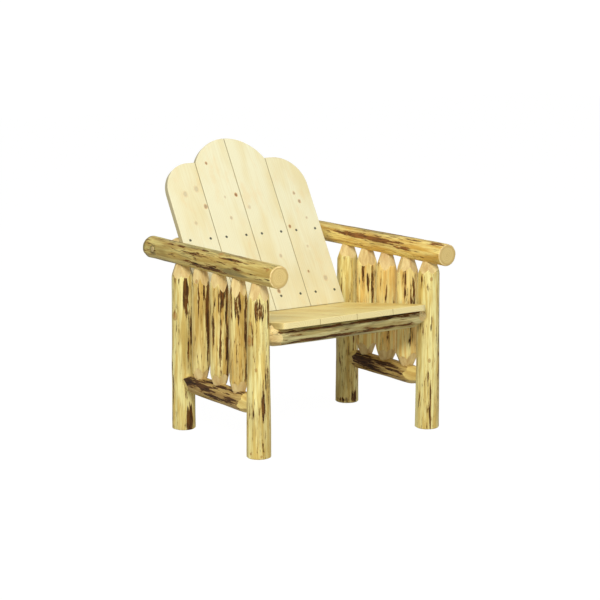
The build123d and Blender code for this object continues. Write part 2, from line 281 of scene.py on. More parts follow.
def barkedWood(name, **look):
    # peeled softwood: grain along the log, thin flecks of bark left by the knife, pale carving
    look = peeled | look
    material, net, shader = newMaterial(name)
    place = net.add("ShaderNodeAttribute", attribute_name="logCo", out="Vector")
    painted = net.add("ShaderNodeAttribute", attribute_name="bark", out="Fac")
    carved = net.add("ShaderNodeAttribute", attribute_name="carved", out="Fac")
    stainAndShadeField = net.add("ShaderNodeAttribute", attribute_name="stainAndShade", out="Fac")
    knot = net.add("ShaderNodeAttribute", attribute_name="knot", out="Fac")

    fibre = net.noise(net.scaled(place, 1, 1, 0.035), 520, 3, 0.6)
    band = net.noise(net.scaled(place, 1, 1, 0.07), 85, 3, 0.6)
    cloud = net.noise(net.scaled(place, 1, 1, 0.3), 16, 3, 0.5)
    sparse = net.noise(net.scaled(place, 1, 1, 0.35), 24, 2, 0.5)
    colour = net.blend(net.ramp(band, 0.38, 0.62), tint(look["light"]), tint(look["deep"]))
    colour = net.blend(net.ramp(cloud, 0.5, 0.72) * 0.5, colour, tint(look["dirt"]))
    colour = net.blend(net.ramp(fibre, 0.4, 0.7) * 0.35, colour, tint(look["halo"]))

    # fine drying cracks along the grain
    split = net.noise(net.scaled(place, 1, 1, 0.016), 230, 2, 0.5)
    split = net.ramp(net.math("ABSOLUTE", split - 0.5), 0.0, 0.014, 1.0, 0.0)
    split = split * net.ramp(sparse, 0.46, 0.6)
    colour = net.blend(split * 0.6, colour, tint(look["halo"]))

    # the knife's cuts at the shoulders are clean and pale
    carving = net.noise(net.scaled(place, 1, 1, 0.1), 75, 3, 0.5)
    pale = net.blend(net.ramp(carving, 0.25, 0.8), tint(look["carved"]), tint(look["carvedDeep"]))
    pale = net.blend(net.ramp(fibre, 0.4, 0.75) * 0.18, pale, tint(look["halo"]))
    cut = net.ramp(carved + (band - 0.5) * 0.5, 0.35, 0.6)
    colour = net.blend(cut, colour, pale)

    # streaky stains; the same mark also lays painted shade, in bands along the front rail
    smear = net.noise(net.scaled(place, 1, 1, 0.05), 240, 4, 0.65)
    stainAndShade = net.ramp(smear + stainAndShadeField * 0.26, 0.6, 0.8) * net.ramp(stainAndShadeField, 0.02, 0.3)
    colour = net.blend(stainAndShade * 0.62, colour, tint(look["stainAndShade"]))

    # bark stays where the painted patches and the stretched noise add up; some patches stand as
    # painted shade, on the left spindles' right flanks and along the front rail
    jag = net.noise(net.scaled(place, 1, 1, 0.11), 150, 5, 0.62, 0.2)
    sliver = net.noise(net.scaled(place, 1, 1, 0.06), 420, 3, 0.6)
    amount = jag + (sliver - 0.5) * 0.5 + painted * 0.25 + (sparse - 0.5) * 0.45 * look["streak"]
    amount = amount + look["fleck"] - cut * 0.7
    around = net.ramp(amount, *look["haloRange"])
    inside = net.ramp(amount, *look["barkRange"])
    tone = net.noise(net.scaled(place, 1, 1, 0.08), 260, 4, 0.65)
    bark = net.blend(net.ramp(tone, 0.4, 0.62), tint(look["bark"]), tint(look["barkDeep"]))
    colour = net.blend(around * 0.75, colour, tint(look["halo"]))
    colour = net.blend(inside, colour, bark)

    # knots: a brown ring round a tan heart
    grain = net.noise(place, 330, 3, 0.6)
    knot = knot + knot * (grain - 0.5) * 0.9
    ring = net.ramp(knot, 0.2, 0.42) * (1 - net.ramp(knot, 0.5, 0.75))
    colour = net.blend(ring * 0.6, colour, tint(look["halo"]))
    colour = net.blend(net.ramp(knot, 0.5, 0.8) * 0.75, colour, tint(look["knot"]))
    colour = net.blend(net.ramp(knot, 0.95, 1.1) * 0.6, colour, bark)
    net.set(shader.inputs["Base Color"], colour)
    net.set(shader.inputs["Roughness"], look["rough"] + inside * 0.25 + (fibre - 0.5) * 0.12)
    smooth = 1 - cut * 0.75
    height = (fibre * 0.25 + band * 0.5) * smooth + inside * 0.8 - ring * 0.4 - split * 0.5 * smooth
    net.relief(shader, height, look["relief"], look["bump"])
    net.set(shader.inputs["Coat Weight"], look["coat"] - inside * look["coat"])
    shader.inputs["Coat Roughness"].default_value = look["coatRough"]
    shader.inputs["Specular IOR Level"].default_value = look["specular"]
    return material


sawnLook = {
    "light": "DEC684", "deep": "B8994E", "cloud": "A9935A", "edge": "A8843F",
    "rough": 0.62, "bump": 0.3, "relief": 0.0006,
}


def sawnWood(name):
    # sawn end of a log: yearly rings of uneven width, a darker rim and fine saw marks
    material, net, shader = newMaterial(name)
    place = net.add("ShaderNodeAttribute", attribute_name="logCo", out="Vector")
    middle = net.add("ShaderNodeAttribute", attribute_name="ringCo", out="Vector")
    rim = net.add("ShaderNodeAttribute", attribute_name="rim", out="Fac")
    drift = net.noise(place, 35, 2, 0.5)
    away = net.vector("LENGTH", net.scaled(middle, 1, 1, 0), out="Value") + (drift - 0.5) * 0.006
    ring = net.noise(net.join(away, 0.0, 0.0), 330, 3, 0.6)
    late = net.ramp(ring, 0.42, 0.62)
    speck = net.noise(place, 700, 2, 0.5)
    cloud = net.noise(place, 60, 3, 0.5)
    share = late * 0.55 + (speck - 0.5) * 0.12
    colour = net.blend(share, tint(sawnLook["light"]), tint(sawnLook["deep"]))
    colour = net.blend(net.ramp(cloud, 0.5, 0.75) * 0.15, colour, tint(sawnLook["cloud"]))
    colour = net.blend(net.ramp(rim, 0.84, 1.0) * 0.5, colour, tint(sawnLook["edge"]))
    net.set(shader.inputs["Base Color"], colour)
    shader.inputs["Roughness"].default_value = sawnLook["rough"]
    saw = net.noise(net.scaled(place, 0.08, 1, 1), 700, 2, 0.5)
    net.relief(shader, late * 0.4 + saw * 0.6, sawnLook["relief"], sawnLook["bump"])
    return material


# The log itself: one Geometry Nodes tree makes all of them

logSizes = {      # name of each input of the tree, its kind and its usual value
    "Length": ("Float", 0.6), "Start Radius": ("Float", 0.038), "End Radius": ("Float", 0.034),
    "Start Neck": ("Float", 0.0), "Start Shoulder": ("Float", 0.0), "Start Tenon": ("Float", 0.0),
    "End Neck": ("Float", 0.019), "End Shoulder": ("Float", 0.04), "End Tenon": ("Float", 0.04),
    "Edge": ("Float", 0.0035), "Knife": ("Float", 0.045), "Hollow": ("Float", 0.018),
    "Sway": ("Float", 0.0012), "Seed": ("Int", 1), "Columns": ("Int", 112), "Rows": ("Int", 230),
    "Wood": ("Material", None), "Sawn": ("Material", None),
}
capRings = 10       # rows of faces from the middle of an end to its rim
crowding = 0.6      # how much closer the rows lie near the ends
bodyFlats = 11      # long flats that the drawknife leaves round a log
flatWander = 0.35   # how far a flat lies off its even place, as a share of its width
flatDrift = 0.5     # how far it wanders round the log along its length, in radians
flatEdge = 0.0006   # rounding between two flats
shoulderCuts = 6    # cuts round a shoulder
cutWander = 0.22    # the same as for the flats
cutEdge = 0.0002
overcut = 1.01      # a cut runs out a little above the body
farOff = 3.0        # a plane no longer cuts beyond this many times its distance
noTip = 0.0005      # a shorter shoulder than this is a sawn end
sawnRim = 0.97      # faces further in than this are the sawn end
weld = 0.00001      # points closer than this become one
sharp = 40          # an edge shows beyond this angle, in degrees


def logTree():
    net = Net(bpy.data.node_groups.new("peeledLog", "GeometryNodeTree"))
    size = net.sizes(logSizes, "Log")
    seed = size["Seed"]

    def chance(low, high, number):
        # one random value for the whole log: its ID is a constant, not each point's own
        constant = net.add("FunctionNodeInputInt", integer=number)
        wires = {2: low, 3: high, 7: constant, 8: seed}
        return net.add("FunctionNodeRandomValue", wires, out=1, data_type="FLOAT")

    def lineNoise(at, scale, number):
        # slow noise along the log, different for every number
        wires = {"W": at * scale + number * 17.3 + seed * 5.7, "Scale": 1.0, "Detail": 1.0}
        return net.add("ShaderNodeTexNoise", wires, noise_dimensions="1D")

    # rows run from the middle of one end out to its rim, along the log, and in again to the
    # middle of the other end
    grid, turn, last, row = net.wrappedGrid(size)
    rim = net.least(row / capRings, (last - row) / capRings)
    rim = net.least(rim, 1.0)
    share = net.upToOne((row - capRings) / (last - 2 * capRings))
    share = share - net.math("SINE", share * (2 * pi)) * (crowding / (2 * pi))
    along = share * size["Length"]
    whole = size["Start Radius"] + (size["End Radius"] - size["Start Radius"]) * share

    # round body with long shallow flats and a soft unevenness
    spot = net.join(net.math("COSINE", turn) * 0.05, net.math("SINE", turn) * 0.05, along)
    spot = net.vector("ADD", spot, net.join(seed * 0.37, seed * 0.71, seed * 1.13))
    uneven = net.add("ShaderNodeTexNoise", {"Vector": spot, "Scale": 9.0, "Detail": 2.0})
    body = whole * (1 - size["Hollow"] * net.ramp(uneven, 0.3, 0.7))
    for number in range(bodyFlats):
        heading = (number + chance(-flatWander, flatWander, number)) * (2 * pi / bodyFlats)
        drift = (lineNoise(along, 2.5, number + 40) - 0.5) * flatDrift
        depth = net.ramp(lineNoise(along, 5.0, number), 0.36, 0.66) * size["Knife"]
        facing = net.most(net.math("COSINE", turn - heading - drift), 1 / farOff)
        body = net.math("SMOOTH_MIN", body, whole * (1 - depth) / facing, flatEdge)

    # shoulders and tenons at both ends, and the broken edge round each end
    radius = body
    ends = (("Start", along, 100), ("End", size["Length"] - along, 200))
    for name, reach, number in ends:
        neck, shoulder, tenon = (size[f"{name} {word}"] for word in ("Neck", "Shoulder", "Tenon"))
        climb = net.most(reach - tenon, 0.0)
        uncut = net.math("LESS_THAN", shoulder, noTip)
        for cut in range(shoulderCuts):
            heading = (cut + chance(-cutWander, cutWander, number + cut)) * (2 * pi / shoulderCuts)
            length = net.most(shoulder, 0.0001) * chance(0.86, 1.14, number + cut + 20)
            plane = neck * chance(0.98, 1.08, number + cut + 40)
            plane = plane + (whole * overcut - neck) * (climb / length) + uncut
            facing = net.most(net.math("COSINE", turn - heading), 1 / farOff)
            radius = net.math("SMOOTH_MIN", radius, plane / facing, cutEdge)
        inTenon = net.math("LESS_THAN", reach, tenon - 0.0001)
        radius = radius + (neck - radius) * inTenon
        edge = size["Edge"] * (0.75 + 0.5 * uneven)
        slack = 1 - net.upToOne(reach / edge)
        radius = radius - edge * (1 - (1 - slack * slack) ** 0.5)
    carved = net.ramp(body - radius, 0.0004, 0.0022)

    # the axis sways a little, but not at the ends
    loose = net.math("SINE", share * pi)
    swayX = (lineNoise(along, 4.0, 61) - 0.5) * size["Sway"] * loose * 2
    swayY = (lineNoise(along, 4.0, 67) - 0.5) * size["Sway"] * loose * 2
    x = net.math("COSINE", turn) * radius * rim
    y = net.math("SINE", turn) * radius * rim
    place = net.join(x + swayX, y + swayY, along)

    def store(mesh, name, value, kind="FLOAT"):
        wires = {"Geometry": mesh, "Name": name, "Value": value}
        return net.add("GeometryNodeStoreNamedAttribute", wires, data_type=kind, domain="POINT")

    mesh = store(grid, "rim", rim)
    mesh = store(mesh, "carved", carved)
    mesh = store(mesh, "ringCo", net.join(x, y, 0.0), "FLOAT_VECTOR")
    shift = net.join(seed * 0.731, seed * 0.417, seed * 0.293)
    mesh = store(mesh, "logCo", net.vector("ADD", place, shift), "FLOAT_VECTOR")
    mesh = net.add("GeometryNodeSetPosition", {"Geometry": mesh, "Position": place})
    mesh = net.add("GeometryNodeMergeByDistance", {"Geometry": mesh, "Distance": 2 * weld})
    mesh = net.add("GeometryNodeRealizeInstances", {"Geometry": mesh})
    mesh = net.add("GeometryNodeSetMaterial", {"Geometry": mesh, "Material": size["Wood"]})
    sawn = net.add("GeometryNodeInputNamedAttribute", {"Name": "rim"}, data_type="FLOAT")
    sawn = net.add("FunctionNodeCompare", {0: sawn, 1: sawnRim}, operation="LESS_THAN")
    wires = {"Geometry": mesh, "Selection": sawn, "Material": size["Sawn"]}
    mesh = net.add("GeometryNodeSetMaterial", wires)
    net.set(net.tree.nodes.new("NodeGroupOutput").inputs[0], mesh)
    return net.tree


def grown(name, tree, sizes):
    # the plain mesh that a tree makes with these sizes, as a new object
    piece = bpy.data.objects.new(name, bpy.data.meshes.new(name))
    scene.collection.objects.link(piece)
    modifier = piece.modifiers.new(name, "NODES")
    modifier.node_group = tree
    sockets = {item.name: item.identifier for item in tree.interface.items_tree
               if item.in_out == "INPUT"}
    for key, value in sizes.items():
        modifier[sockets[key]] = value
    graph = bpy.context.evaluated_depsgraph_get()
    mesh = bpy.data.meshes.new_from_object(
        piece.evaluated_get(graph), preserve_all_data_layers=True, depsgraph=graph)
    piece.modifiers.clear()
    piece.data = mesh
    mesh.name = name
    if mesh.materials[0] is None:      # the empty mesh's own slot
        mesh.materials.pop(index=0)
    return piece


def points(mesh):
    co = np.zeros(len(mesh.vertices) * 3, np.float32)
    mesh.vertices.foreach_get("co", co)
    return co.reshape(-1, 3).astype(float)


def setPoints(mesh, co):
    mesh.vertices.foreach_set("co", co.astype(np.float32).ravel())
    mesh.update()


def paint(mesh, name, values):
    layer = mesh.attributes.new(name, "FLOAT", "POINT")
    layer.data.foreach_set("value", values.astype(np.float32))


def closeMesh(mesh):
    # seams and poles closed, faces outwards, smooth but for the sharp edges
    shape = bmesh.new()
    shape.from_mesh(mesh)
    bmesh.ops.remove_doubles(shape, verts=shape.verts, dist=weld)
    bmesh.ops.recalc_face_normals(shape, faces=shape.faces)
    shape.to_mesh(mesh)
    shape.free()
    mesh.shade_smooth()
    mesh.set_sharp_from_angle(angle=radians(sharp))


# How each kind of log is laid: which way it runs, and the two ways that its angles are
# counted from and towards. An angle of 0 faces the first, 90 the second.
lays = {
    "upright": ((0, 0, 1), (0, -1, 0), (-1, 0, 0)),     # from the front towards the left
    "arm": ((0, 1, 0), (-1, 0, 0), (0, 0, 1)),          # from the left towards the top
    "rail": ((1, 0, 0), (0, -1, 0), (0, 0, 1)),         # from the front towards the top
}


def roundBy(angle, turn, radius):
    # mm round the log from the line at this turn
    return (np.mod(angle - turn + 180, 360) - 180) * pi / 180 * radius * 1000


def patchField(angle, along, radius, patches):
    # strength of the painted patches at every point: each patch is (angle in degrees, place
    # along the log in mm, width in mm, length in mm, strength)
    field = np.zeros(len(angle))
    for turn, place, width, length, strength in patches:
        across = roundBy(angle, turn, radius)
        away = np.sqrt((across / (width / 2)) ** 2 + ((along * 1000 - place) / (length / 2)) ** 2)
        field = np.maximum(field, strength * np.clip(1.5 - away, 0, 1))
    return field


rowStep = 0.0032      # length of one row of faces along a log
barkRise = 0.0004     # bark stands this far above the peeled wood
knotLong = 1.25       # a knot is this much longer than wide
knotFade = 0.8        # how fast a knot's colour and its swelling end; smaller is wider
swellFade = 0.35


def makeLog(node, lay, look, materials):
    # look: the sizes that change from log to log, and its knots (angle, place, size and height
    # in mm), cracks (angle, place, width, length, depth), patches, stains and painted shade bands,
    # and flats
    low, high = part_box(node)
    ahead, first, second = (np.array(way, float) for way in lays[lay])
    axis = int(np.argmax(ahead))
    sides = [n for n in range(3) if n != axis]
    centre = np.array((low + high) / 2)
    for n, value in look.get("centre", {}).items():
        centre[n] = value
    centre[axis] = low[axis]
    length = high[axis] - low[axis]
    widest = look.get("radius") or max(high[n] - low[n] for n in sides) / 2
    start, end = look.get("taper", (1.0, 1.0))
    sizes = {
        "Length": length, "Start Radius": widest * start, "End Radius": widest * end,
        "Wood": materials[0], "Sawn": materials[1],
        "Rows": 2 * capRings + int(length / rowStep),
    } | look["sizes"]
    piece = grown(node + "_log", peeledLog, sizes)
    mesh = piece.data

    # turn it so that it runs along its axis
    laid = Matrix((first, second, ahead)).transposed().to_4x4()
    if laid.determinant() < 0:
        laid = Matrix((-first, second, ahead)).transposed().to_4x4()
    laid.translation = Vector(centre)
    mesh.transform(laid)
    co = points(mesh)
    out = co - centre
    along = out @ ahead
    angle = np.degrees(np.arctan2(out @ second, out @ first))
    across = out - np.outer(along, ahead)
    reach = np.maximum(np.linalg.norm(across, axis=1), 1e-6)

    knots = np.zeros(len(co))
    swell = np.zeros(len(co))
    for turn, place, size, height in look.get("knots", []):
        side = roundBy(angle, turn, widest)
        away = np.sqrt(side ** 2 + ((along * 1000 - place) / knotLong) ** 2) / (size / 2)
        knots = np.maximum(knots, np.exp(-knotFade * away ** 2))
        swell += height / 1000 * np.exp(-swellFade * away ** 2)
    for turn, place, width, span, depth in look.get("cracks", []):
        side = roundBy(angle, turn, widest)
        inSpan = np.clip(1.6 - np.abs(along * 1000 - place) / (span / 2) * 1.6, 0, 1)
        swell -= depth / 1000 * inSpan * np.exp(-(side / width * 2) ** 2)
    bark = patchField(angle, along, widest, look.get("patches", []))
    swell = np.where(reach > widest * 0.6, swell + barkRise * np.clip(bark, 0, 1), 0)
    swollen = np.minimum(reach + swell, np.maximum(reach, widest))      # never past the CAD log
    co += across / reach[:, None] * (swollen - reach)[:, None]
    for normal, depth, span in look.get("flats", []):
        normal = np.array(normal, float)
        over = (co - centre) @ normal - (widest - depth)
        inside = (np.abs(co[:, axis] - span[0]) < span[1]) & (over > 0)
        co[inside] -= np.outer(over[inside], normal)
    setPoints(mesh, co)
    paint(mesh, "bark", bark)
    paint(mesh, "knot", knots)
    paint(mesh, "stainAndShade", patchField(angle, along, widest, look.get("stainsAndShade", [])))

    closeMesh(mesh)
    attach(piece, "root")
    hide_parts(node)


# Slopes of the seat and the back; a rail's flat runs on past the seat boards, and a shoulder
# runs into the next log

seat = {"slope": radians(7.66), "flatPast": 0.0025}
back = {"lean": radians(30.28)}
joint = {"bite": 0.004}

placeCamera()
lightStudio()
layFloor()
print("studio ready")

peeledLog = logTree()
woods = {
    "post": barkedWood("postWood"),
    # the left arm's darker olive colours are partly its own stain, partly painted shade; the right
    # arm's warmer, brighter colours are partly its own tone, partly painted light
    "armLeft": barkedWood("leftArmWoodStainAndShade", light="E0D080", deep="BEA254", dirt="86783E", fleck=0.05),
    "armRight": barkedWood("rightArmWoodToneAndLight", light="F4DE88", deep="D8AC4C", dirt="A88A44",
                           bark="92602A", barkDeep="5A3814"),
    # one spindle wood in a shaded and a lit copy: the left spindles' colours are darkened as painted
    # shade, the right spindles' colours are brightened as painted light
    "spindleLeft": barkedWood("leftSpindleWoodPaintedShade", light="F2E49A", deep="D4B25E", fleck=0.04),
    "spindleRight": barkedWood("rightSpindleWoodPaintedLight", light="FFF4AA", deep="F2CC74", dirt="D0AC60"),
    # the stretchers' colours are darkened as painted shade for their place under the seat, over their
    # own bark-streaked tone
    "stretcher": barkedWood("stretcherWoodPaintedShade", light="D2B870", deep="A6864A", dirt="7E683E",
                            bark="583A1C", barkDeep="28180C", fleck=0.06,
                            carved="F2DE8C", carvedDeep="D2B060"),
    # the rails' darker olive colours are partly their own tone, partly painted shade under the seat's
    # front edge
    "rail": barkedWood("railWoodPaintedShade", light="D2CC94", deep="AEA268", dirt="7E7A50", fleck=0.06),
}
sawn = sawnWood("sawnEnd")


# Posts

postCut = {"neck": 0.0195, "edge": 0.0032}
postLooks = {
    "front_left": {
        "seed": 3, "taper": (1.0, 0.857), "shoulder": 0.062,
        "patches": [(30, 462, 26, 60, 1.0), (-25, 452, 14, 90, 0.9), (13, 170, 13, 120, 1.1),
                    (-4, 262, 7, 90, 1.1), (-20, 250, 12, 120, 0.6), (60, 120, 8, 60, 0.45),
                    (-80, 300, 30, 200, 0.7), (150, 200, 30, 220, 0.7), (190, 420, 24, 120, 0.8)],
        "knots": [(77, 420, 9, 0.6), (46, 279, 8, 0.5), (84, 367, 24, 1.4), (75, 17, 6, 0.2),
                  (21, 10, 6, 0.2), (140, 330, 18, 1.0)],
    },
    "front_right": {
        "seed": 8, "taper": (1.0, 0.8625), "shoulder": 0.048,
        "patches": [(83, 483, 6, 110, 0.8), (62, 311, 5, 45, 0.7), (24, 335, 4, 24, 0.7),
                    (65, 140, 5, 30, 0.6), (63, 38, 5, 34, 0.6), (24.5, 66, 5, 170, 1.25),
                    (-30, 200, 10, 300, 0.7), (-60, 350, 20, 180, 0.8), (150, 300, 26, 240, 0.8),
                    (200, 120, 24, 140, 0.7)],
        "knots": [(25, 494, 9, 0.5), (31, 228, 9, 0.6), (150, 420, 18, 1.0)],
        "cracks": [(24.5, 66, 2.6, 150, 2.2)],
    },
    "rear_left": {
        "seed": 5, "taper": (1.0, 0.896), "shoulder": 0.050,
        "patches": [(14, 452, 19, 130, 1.3), (-14, 320, 12, 130, 1.0), (52, 311, 8, 80, 0.7),
                    (3, 290, 9, 110, 0.8), (0, 36, 22, 88, 1.7), (45, 85, 4, 60, 0.6),
                    (100, 180, 12, 120, 0.6), (200, 300, 26, 240, 0.8), (250, 150, 22, 160, 0.7)],
        "knots": [(77, 375, 20, 1.2), (-60, 260, 16, 0.8)],
    },
    "rear_right": {
        "seed": 13, "taper": (1.0, 0.875), "shoulder": 0.050,
        "patches": [(28, 180, 5, 110, 0.8), (-2, 20, 22, 40, 1.0), (60, 12, 34, 18, 0.9),
                    (0, 200, 8, 160, 0.6), (70, 360, 8, 120, 0.6), (190, 330, 26, 200, 0.8)],
        "knots": [(50, 300, 12, 0.6), (170, 200, 18, 1.0)],
    },
}


def tipSizes(where, neck, shoulder, tenon):
    return {f"{where} Neck": neck, f"{where} Shoulder": shoulder, f"{where} Tenon": tenon}


for place, look in postLooks.items():
    side = place.split("_")[1]
    node = "post_" + place
    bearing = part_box("arm_" + side)[0].z + joint["bite"]
    top = tipSizes("End", postCut["neck"], look["shoulder"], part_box(node)[1].z - bearing)
    look["sizes"] = {"Seed": look["seed"], "Edge": postCut["edge"]} | top
    look["slot"] = "post_log"
    makeLog(node, "upright", look, (woods["post"], sawn))
print("posts made")


# Arms

armCut = {"edge": 0.005}
armLooks = {
    "left": {
        "seed": 21, "taper": (0.973, 1.0), "wood": "armLeft", "slot": "arm_log_left",
        "patches": [(55, 587, 8, 50, 1.0), (55, 520, 8, 60, 1.0), (47, 231, 9, 110, 1.0),
                    (-26, 375, 18, 200, 0.9), (30, 440, 6, 120, 0.7), (20, 300, 6, 100, 0.7),
                    (62, 400, 7, 140, 0.8), (5, 180, 5, 80, 0.6), (100, 250, 12, 200, 0.7),
                    (-2, 672, 5, 30, 1.0), (-66, 640, 9, 110, 0.9), (96, 600, 10, 130, 0.8),
                    (120, 520, 14, 160, 0.7), (180, 300, 16, 240, 0.7)],
        "stainsAndShade": [(-16, 200, 26, 150, 1.2), (20, 480, 20, 160, 0.9), (85, 400, 40, 560, 1.0),
                   (-62, 610, 26, 220, 1.1), (2, 680, 32, 36, 1.4), (0, 740, 200, 24, 1.1)],
        "knots": [(39, 22, 11, 0.7), (70, 300, 16, 1.0)],
    },
    "right": {
        "seed": 34, "taper": (1.0, 0.903), "wood": "armRight", "slot": "arm_log_right",
        "patches": [(24, 400, 18, 330, 1.35), (3, 170, 10, 110, 0.9), (67, 40, 22, 80, 0.9),
                    (35, 575, 4, 130, 0.8), (62, 200, 8, 260, 0.8), (102, 380, 20, 620, 1.0),
                    (120, 300, 14, 240, 0.7), (180, 250, 20, 220, 0.7)],
        "stainsAndShade": [(88, 380, 34, 700, 1.0)],
        "knots": [(16, 494, 9, 0.6), (6, 215, 9, 0.7), (150, 420, 16, 1.0)],
    },
}
for side, look in armLooks.items():
    look["sizes"] = {"Seed": look["seed"], "Edge": armCut["edge"]} | tipSizes("End", 0.0, 0.0, 0.0)
    makeLog("arm_" + side, "arm", look, (woods[look["wood"]], sawn))
print("arms made")


# Spindles

spindleCut = {
    "neck": 0.0185, "top": {"left": 0.066, "right": 0.057}, "foot": 0.046, "edge": 0.002,
    "knife": 0.04, "taper": (1.0, 0.96), "columns": 96,
}
# the long patch on each left spindle's right flank (angles -18 to -22, about 330 mm long) is partly
# bark, partly painted shade in the gaps between the spindles
spindleLooks = {
    "left_front": {"seed": 41, "patches": [(48, 310, 9, 110, 1.0), (28, 300, 9, 120, 1.0),
                                            (40, 150, 8, 90, 0.8), (-22, 220, 16, 330, 1.1),
                                            (88, 330, 10, 90, 0.9), (180, 250, 16, 200, 0.8)]},
    "left_middle": {"seed": 42, "patches": [(20, 320, 18, 90, 1.1), (60, 330, 10, 90, 0.8),
                                             (25, 190, 10, 200, 0.9), (-20, 220, 16, 340, 1.1),
                                             (70, 200, 8, 120, 0.8), (170, 220, 18, 240, 0.8)]},
    "left_rear": {"seed": 43, "patches": [(45, 300, 8, 90, 0.8), (-18, 230, 16, 330, 1.1),
                                           (8, 330, 9, 90, 1.0), (190, 250, 16, 220, 0.8)],
                  "knots": [(60, 350, 9, 0.5)]},
    "right_front": {"seed": 44, "patches": [(50, 300, 12, 90, 0.9), (0, 280, 12, 120, 1.0),
                                             (15, 200, 10, 160, 0.8)]},
    "right_middle": {"seed": 45, "patches": [(40, 240, 8, 80, 0.9), (0, 220, 8, 60, 0.7)]},
    "right_rear": {"seed": 46, "patches": [(60, 320, 8, 90, 1.0), (30, 280, 8, 60, 0.9),
                                            (5, 260, 12, 150, 0.8)]},
}
for place, look in spindleLooks.items():
    side = place.split("_")[0]
    node = "spindle_" + place
    low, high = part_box(node)
    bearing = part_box("arm_" + side)[0].z + joint["bite"]
    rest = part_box("stretcher_" + side)[1].z - joint["bite"]
    foot = tipSizes("Start", spindleCut["neck"], spindleCut["foot"], rest - low.z)
    top = tipSizes("End", spindleCut["neck"], spindleCut["top"][side], high.z - bearing)
    look["sizes"] = {
        "Seed": look["seed"], "Edge": spindleCut["edge"], "Columns": spindleCut["columns"],
        "Knife": spindleCut["knife"],
    } | foot | top
    look["taper"] = spindleCut["taper"]
    look["slot"] = "spindle_log"
    makeLog(node, "upright", look, (woods["spindle" + side.title()], sawn))
print("spindles made")


# Side stretchers

stretcherCut = {"neck": 0.0195, "rear": 0.044, "edge": 0.002}
stretcherLooks = {
    "left": {
        "seed": 51, "shoulder": 0.050,
        "patches": [(30, 300, 30, 240, 1.0), (-10, 200, 16, 200, 0.9), (60, 200, 16, 200, 0.9),
                    (10, 110, 8, 60, 0.9)],
    },
    "right": {
        "seed": 52, "shoulder": 0.064,
        "patches": [(20, 320, 34, 160, 1.1), (35, 220, 16, 160, 0.9), (-20, 260, 14, 220, 0.9),
                    (10, 150, 10, 80, 0.9)],
        "stainsAndShade": [(10, 260, 40, 260, 0.6)],
    },
}
for side, look in stretcherLooks.items():
    node = "stretcher_" + side
    low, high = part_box(node)
    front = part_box("post_front_" + side)[1].y - joint["bite"]
    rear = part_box("post_rear_" + side)[0].y + joint["bite"]
    tips = tipSizes("Start", stretcherCut["neck"], look["shoulder"], front - low.y)
    tips |= tipSizes("End", stretcherCut["neck"], stretcherCut["rear"], high.y - rear)
    look["sizes"] = {"Seed": look["seed"], "Edge": stretcherCut["edge"]} | tips
    look["slot"] = "stretcher_log"
    makeLog(node, "arm", look, (woods["stretcher"], sawn))
print("stretchers made")


# Rails across the chair

railCut = {"edge": 0.002, "columns": 96}
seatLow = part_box("seat_board_1")[0]
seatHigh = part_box("seat_board_4")[1]
seatSpan = ((seatLow.x + seatHigh.x) / 2, (seatHigh.x - seatLow.x) / 2 + seat["flatPast"])
seatUp = (0, sin(seat["slope"]), cos(seat["slope"]))
backOut = (0, -cos(back["lean"]), sin(back["lean"]))
railLooks = {
    "seat_rail_front": {
        "seed": 61, "neck": 0.0225, "shoulder": 0.040, "near": "post_front", "flat": (seatUp, 0.018),
        # along the front rail the patches and the two long stain bands are partly bark and stain,
        # partly painted shadow below the seat's front edge and painted shade on the rail's underside
        "patches": [(-38, 300, 12, 330, 1.1), (-30, 480, 9, 240, 1.0), (16, 220, 7, 300, 1.1),
                    (20, 430, 9, 220, 1.1), (-45, 160, 9, 180, 0.9), (30, 520, 10, 160, 1.1)],
        "stainsAndShade": [(22, 334, 40, 640, 0.8), (-35, 334, 26, 640, 0.6)],
    },
    "seat_rail_rear": {
        "seed": 62, "neck": 0.0185, "shoulder": 0.036, "near": "post_rear", "flat": (seatUp, 0.005),
        "patches": [(0, 300, 14, 260, 0.8), (-60, 400, 20, 200, 0.8)],
    },
    "back_rail_lower": {
        "seed": 63, "neck": 0.0185, "shoulder": 0.036, "near": "post_rear", "flat": (backOut, 0.002),
        "patches": [(150, 300, 14, 260, 0.8)],
    },
    "back_rail_upper": {
        "seed": 64, "neck": 0.0185, "shoulder": 0.036, "near": "arm", "flat": (backOut, 0.002),
        "patches": [(190, 300, 20, 240, 0.9), (140, 450, 10, 200, 0.8)],
        "knots": [(180, 200, 16, 1.0)],
    },
}
for node, look in railLooks.items():
    low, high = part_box(node)
    near = look["near"]
    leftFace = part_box(near + "_left")[1].x - joint["bite"]
    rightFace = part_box(near + "_right")[0].x + joint["bite"]
    tips = tipSizes("Start", look["neck"], look["shoulder"], leftFace - low.x)
    tips |= tipSizes("End", look["neck"], look["shoulder"], high.x - rightFace)
    tips |= {"Edge": railCut["edge"], "Columns": railCut["columns"]}
    look["sizes"] = {"Seed": look["seed"]} | tips
    look["radius"] = max(high.y - low.y, high.z - low.z) / 2
    if look["flat"][0] is seatUp:      # the flat takes the top away, so the bottom gives the axis
        look["centre"] = {2: low.z + look["radius"]}
    look["flats"] = [(look["flat"][0], look["flat"][1], seatSpan)]
    look["slot"] = "rail_log"
    makeLog(node, "rail", look, (woods["rail"], sawn))
print("rails made")


# Boards

# seat and back are one pine: the seat colours are its own, the back's paler, whiter colours are
# painted light, as the brighter-lit back boards look
boardWood = {
    "seat": {"light": "F0E096", "deep": "DEC370", "late": "C39C4C", "end": "E8DCA4", "rough": 0.4,
             "grain": 0.3, "blush": "D8B25C"},
    "back": {"light": "E9E5C3", "deep": "E4D9AB", "late": "CDB474", "end": "DCCC94", "rough": 0.45,
             "grain": 0.13, "blush": "E6C88A"},
}
planed = {      # the same for every board; rings are counted for each metre of depth
    "rings": 210, "knotRing": "CC9440", "knotCore": "84501E", "flankShade": "B0A276",
    "coat": 0.12, "coatRough": 0.3, "bump": 0.35, "relief": 0.0005,
}


